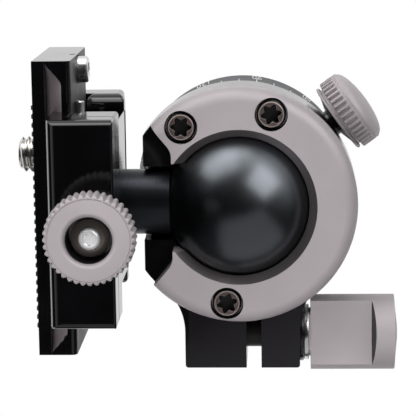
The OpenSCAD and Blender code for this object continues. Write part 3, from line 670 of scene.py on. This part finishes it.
# Clamp body: the far jaw, the bed and the cross bar, milled from one bar of aluminium.
# It is anodised glossy black. A cap screw holds it on the stem, and a small bright screw ends the bed.
# Sizes are in the stem's own frame: reaches along the stem, and widths towards and away from the lens.
reach = 30.4
bed_top = 42.3
jaw_top = 47.4
jaw_half = 26.7
jaw_in = 20.6
bar_in = 18.5
bar_out = 28.0


def slab(near, far, half, back, front, corner, rounds, steps=6, deep=1.0):
    """Block of the clamp between two reaches along the stem, with rounded upright corners.

    Its front edges are rounded by their own radii on the near side, at the ends and on the far side.
    The end and far rounds can run deeper down the side than they reach in.
    """
    bm = bmesh.new()
    way = 1 if front > back else -1
    levels = []
    for step in range(-1, steps + 1):
        lean = pi / 2 * max(step, 0) / steps
        near_in, end_in, far_in = (r * (1 - cos(lean)) for r in rounds)
        near_drop, end_drop, far_drop = (r * (1 - sin(lean)) for r in rounds)
        end_drop *= deep
        far_drop *= deep
        bend = max(0.05, corner - max(near_in, end_in, far_in))
        turns = ((far - far_in - bend, half - end_in - bend, far_drop, end_drop),
                 (near + near_in + bend, half - end_in - bend, end_drop, near_drop),
                 (near + near_in + bend, -half + end_in + bend, near_drop, end_drop),
                 (far - far_in - bend, -half + end_in + bend, end_drop, far_drop))
        level = []
        for quarter, (middle_u, middle_y, first, last) in enumerate(turns):
            for i in range(steps + 1):
                angle = pi / 2 * (quarter + i / steps)
                drop = first + (last - first) * i / steps
                high = back if step < 0 else front - way * drop
                level.append(bm.verts.new((high, middle_y + bend * sin(angle), middle_u + bend * cos(angle))))
        levels.append(level)
    for lower, upper in zip(levels, levels[1:]):
        for i in range(len(lower)):
            bm.faces.new((lower[i - 1], lower[i], upper[i], upper[i - 1]))
    bm.faces.new(levels[0])
    bm.faces.new(levels[-1])
    bmesh.ops.recalc_face_normals(bm, faces=bm.faces)
    return bm


def tooth(side, inner):
    """Dovetail tooth of a jaw, drawn across the stem and run along the whole jaw."""
    bm = bmesh.new()
    tip = 17.18
    outline = ((inner, jaw_top), (tip, jaw_top), (tip, 47.0), (jaw_in, 43.58), (jaw_in, 42.4), (inner, 42.4))
    ends = [[bm.verts.new((side * w, end, u)) for w, u in outline] for end in (-jaw_half, jaw_half)]
    for i in range(len(outline)):
        bm.faces.new((ends[0][i - 1], ends[0][i], ends[1][i], ends[1][i - 1]))
    bm.faces.new(ends[0])
    bm.faces.new(ends[1])
    bmesh.ops.recalc_face_normals(bm, faces=bm.faces)
    break_edges(bm, 0.18)
    return bm


cross_bar = slab(reach, bed_top, jaw_half, bar_in, bar_out, 0.9, (0.3, 0.3, 0.3))
bed = slab(bed_low, bed_top, 22.3, -jaw_in, bar_in, 0.2, (0.1, 0.1, 0.1))
far_end = slab(bed_low, bed_top, jaw_half, -jaw_in, -16.6, 2.0, (0.3, 4.0, 0.3))
far_jaw = slab(bed_low + 0.8, jaw_top, jaw_half, -jaw_in, -31.0, 1.5, (3.0, 1.4, 1.5))
bm = gather([cross_bar, bed, far_end, far_jaw, tooth(-1, jaw_in)])
dress(bm, "clamp_body", gloss_black, "neck", "black_anodised", "clamp_base", axis=stem_axis)
softened("clamp_bolt", 0.25, steel, "neck", "stainless")
bed_screw = turned([(0, 22.2), (1.2, 22.2), (1.2, 28.2), (0.95, 28.5), (0.6, 28.5), (0.52, 28.1), (0, 28.1)],
                   steps=48, closed=False)
to_bed = stem_axis @ Matrix.Translation((10, 0, 41.2)) @ Matrix.Rotation(radians(-90), 4, "X")
dress(bed_screw, "bed_screw", steel, "neck", "stainless", axis=to_bed)

# Guide pins, jaw springs and clamp stud: the steel inside the clamp that guides and opens the moving jaw.
# The pins and the stud are ground rod, and the springs are wound from round wire.
softened("guide_pins", 0.3, steel, "neck", "stainless")
softened("clamp_stud", 0.3, steel, "neck", "stainless")
wire = [(2.74 + 0.42 * cos(radians(a)), 0.42 * sin(radians(a))) for a in range(0, 360, 45)]
pin_reach = 36.7
coils = []
for pin_along in (-17.0, 17.0):
    coil = helix(wire, start=13.5, turns=7.4, pitch=1.9, steps=30)
    spot = stem_axis @ Matrix.Translation((0, pin_along, pin_reach)) @ Matrix.Rotation(radians(90), 4, "Y")
    bmesh.ops.transform(coil, matrix=spot, verts=coil.verts)
    coils.append(coil)
dress(gather(coils), "jaw_coils", steel, "neck", "stainless", "jaw_springs")

# Moving jaw: the jaw that the clamp knob draws on to the plate, with a slip washer under the knob.
# It is milled from aluminium with rounded edges and anodised glossy black; a thin sheet set in the gap to the
# cross bar is painted near black on its sides as the shade in the gap.
jaw_back = 28.5
block = slab(reach, jaw_top, jaw_half, jaw_back, 36.4, 0.8, (0.6, 1.8, 3.2), steps=10, deep=1.5)
shaded_gap_sheet = slab(reach + 0.4, jaw_top - 0.4, jaw_half - 0.4, 28.1, 28.6, 0.4, (0.02, 0.02, 0.02))
bm = gather([block, tooth(1, jaw_back), shaded_gap_sheet])
piece = dress(bm, "front_jaw", gloss_black, "jaw", "black_anodised", "moving_jaw", axis=stem_axis)
# Painted shade: the sides of the sheet in the gap are painted near black.
repaint(piece, painted_shade, lambda at, way: bar_out < at.z - ball_high < jaw_back - 0.02 and abs(way.z) < 0.5)
softened("knob_washer", 0.1, slip_white, "jaw", "bearing_plastic")

# Clamp knob: the fluted knob on the clamp stud, with a hub under it and a recess in its face.
# It is turned aluminium with forty milled flutes, anodised grey, and the wall of its recess is painted near
# black as shade.
knob_reach = 35.0
knob_axis = stem_axis @ Matrix.Translation((0, 0, knob_reach)) @ Matrix.Rotation(radians(90), 4, "Y")
flutes = 40
flute_root = 10.45
recess_r = 5.75
recess_low = 80
hub = [(2.65, 37.5), (7.1, 37.5), (7.4, 37.8), (7.4, 47.2), (9.8, 47.2)]
grip = [(10.75, 47.5), (11.35, 48.1), (11.35, 50.5), (11.35, 53.3), (11.2, 53.75), (10.85, 54.05)]
face_groove = [(10.6, 54.18), (10.5, 54.2), (10.4, 54.22), (10.3, 54.24), (10.22, 54.05), (10.08, 54.05),
               (10.0, 54.3), (9.9, 54.32)]
recess = [(6.95, 54.95), (6.65, 54.95), (recess_r, 54.05), (recess_r, 44.65), (2.65, 44.65)]
bm = turned(hub + grip + face_groove + recess, steps=flutes * 12)
for vert in bm.verts:
    r, turn = round_axis(vert)
    wave = 1 - abs(cos(flutes / 2 * turn))
    to_radius(vert, r - 0.75 * wave * min(max((r - flute_root) / 0.6, 0.0), 1.0))
piece = dress(bm, "fluted_clamp_knob", grey, "clamp_grip", "grey_anodised", "clamp_knob", axis=knob_axis,
              sharp=50)
# Painted shade: the wall of the recess is painted near black.
repaint(piece, painted_shade, lambda at, way: abs(way.z) < 0.5 and at.z > recess_low
        and hypot(at.x + knob_reach, at.y) < recess_r + 0.25)

# Stop washer and stop screw: the dark dished washer in the knob and the bright button screw that holds it.
# Both are turned steel, the washer browned and the screw polished with a hexagon drive.
washer_dark = finish("washer_dark", (0.17, 0.148, 0.135), (0.21, 0.186, 0.17), 0.34, 0.8, relief=0.05,
                     rub=0.2, axis=knob_axis, marks=0.25)
dish = [(4.7 - 2.0 * i / 10, 50.5 + 0.7 * sin(radians(9 * i))) for i in range(11)]
bm = turned([(1.55, 49.8), (4.7, 49.8), (4.8, 49.9), (4.8, 50.35)] + dish + [(1.55, 51.2)], steps=96)
dress(bm, "dished_washer", washer_dark, "neck", "black_anodised", "stop_washer", axis=knob_axis)


def hexed(bm, lowest, highest):
    """Press the round wall of a drive into a hexagon."""
    hex_flat = 0.93
    for vert in bm.verts:
        r, turn = round_axis(vert)
        if lowest < r < highest:
            lean = (turn + pi / 6) % (pi / 3) - pi / 6
            to_radius(vert, r * hex_flat / cos(lean))


screw_steel = finish("screw_steel", (0.80, 0.80, 0.81), (0.72, 0.72, 0.73), 0.3, 0.4, relief=0.04, rub=0.0,
                     axis=knob_axis, marks=0.15)
bm = turned([(0, 52.45), (0.8, 52.4), (1.45, 52.4), (1.45, 52.55), (1.6, 52.75), (1.95, 52.7), (2.3, 52.5),
             (2.6, 52.15), (2.75, 51.7), (2.75, 51.25), (1.5, 51.25), (1.5, 43.6), (0, 43.3)], steps=96,
            closed=False)
hexed(bm, 1.4, 1.48)
dress(bm, "button_screw", screw_steel, "neck", "stainless", "stop_screw", axis=knob_axis)

# Camera plate: the dovetail plate in the clamp, with a milled groove along each side.
# It is aluminium, anodised glossy black with a fine bevel at its edges, and its milled flanks carry a painted
# reflection in lighter grey.
# The side that lies on the bed is in deep shade and painted near black.
flank_reflection_grey = finish("flank_reflection_grey", (0.24, 0.204, 0.214), (0.28, 0.24, 0.25), 0.45, 0.3, relief=0.06, rub=0.0)
flank_reach = (44.5, 50)
flank_half = 18.7
piece = softened("camera_plate", 0.3, gloss_black, "plate", "black_anodised", segments=3, shortest=0.15)
# Painted reflection: the milled flanks are painted a lighter grey for the light they reflect.
repaint(piece, flank_reflection_grey, lambda at, way: 0.6 < abs(way.x) < 0.8 and abs(at.z - ball_high) < flank_half
        and flank_reach[0] < -at.x < flank_reach[1])
repaint(piece, painted_shade, lambda at, way: way.x > 0.9)

# Grip pad: the ribbed rubber sheet let into the camera side of the plate.
# It is moulded black rubber with rounded ribs across its width.
rubber = finish("ribbed_rubber", (0.022, 0.022, 0.022), (0.034, 0.033, 0.032), 0.7, 0.0, grain=1800.0,
                relief=0.35, rub=0.12, bare=(0.09, 0.09, 0.09))
pad_top = 52.5
rib_step = 2.3
rib_width = 1.26
rib_thick = 0.9
rib_high = pad_top + 0.05
rib_round = 0.3
first_rib = -31.0 + 0.6 + rib_step * 0.275
screw_along = 13.1
screw_clear = 6.4


def bar(width, length, thick, across, along, up, soft):
    """Bar with rounded edges, placed by its middle in the clamp's own frame."""
    bm = bmesh.new()
    bmesh.ops.create_cube(bm, size=1.0)
    bmesh.ops.scale(bm, vec=(width, length, thick), verts=bm.verts)
    break_edges(bm, soft, segments=3)
    bmesh.ops.translate(bm, vec=(across, along, up), verts=bm.verts)
    return bm


bars = [bar(36.7, 62.9, 0.66, 0, 0.5, pad_top - 0.41, 0.1)]
for rib in range(26):
    along = first_rib + rib_step * rib
    if abs(along - screw_along) < screw_clear:
        for side in (-1, 1):
            bars.append(bar(12.0, rib_width, rib_thick, side * 12.0, along, rib_high, rib_round))
    else:
        bars.append(bar(36.0, rib_width, rib_thick, 0, along, rib_high, rib_round))
dress(gather(bars), "ribbed_pad", rubber, "plate", "rubber_pad", "grip_pad", axis=stem_axis)

# Plate stops: two cap screws in the foot of the plate that stop it at the ends of the bed.
# They are bright steel with a smooth turned head and a hexagon drive.
stops = []
for along in (35.65, -31.1):
    stop = turned([(0, 41.9), (1.75, 42.1), (1.75, 40.0), (1.95, 39.7), (3.0, 39.7), (3.5, 40.1),
                   (3.5, 43.6), (3.3, 43.84), (2.0, 43.84), (2.0, 49.2), (0, 49.4)], steps=144, closed=False)
    hexed(stop, 1.6, 1.8)
    bmesh.ops.transform(stop, matrix=stem_axis @ Matrix.Translation((0, along, 0)), verts=stop.verts)
    stops.append(stop)
dress(gather(stops), "stop_screws", steel, "plate", "stainless", "plate_stops")

# Camera screw: the coarse threaded screw that stands out of the plate and holds the camera.
# It is bright stainless with a sunk head, a relieved neck and a real helical thread.
screw_axis = stem_axis @ Matrix.Translation((0, screw_along, 0))
thread_r = 4.7625
thread_end = 57.6
thread_steel = finish("thread_steel", (0.74, 0.72, 0.69), (0.62, 0.60, 0.57), 0.24, 1.0, relief=0.05, rub=0.0,
                      axis=screw_axis, marks=0.15)
core = turned([(0, 45.3), (2.7, 45.1), (2.7, 43.0), (3.0, 42.7), (7.1, 42.7), (7.5, 43.1), (7.5, 47.3),
               (7.1, 47.7), (3.95, 47.7), (3.95, 58.2), (3.5, 58.6), (0, 58.6)], steps=96, closed=False)
hexed(core, 2.6, 2.8)
ridge = helix([(3.8, 0.0), (thread_r, 0.63), (thread_r, 0.83), (3.8, 1.46)], 51.88, 3.3, thread_pitch)
for vert in ridge.verts:
    r, turn = round_axis(vert)
    to_radius(vert, min(r, thread_r - max(vert.co.z - thread_end, 0.0)))
bm = gather([core, ridge])
dress(bm, "threaded_camera_screw", thread_steel, "camera_stud", "stainless", "camera_screw",
      axis=screw_axis)
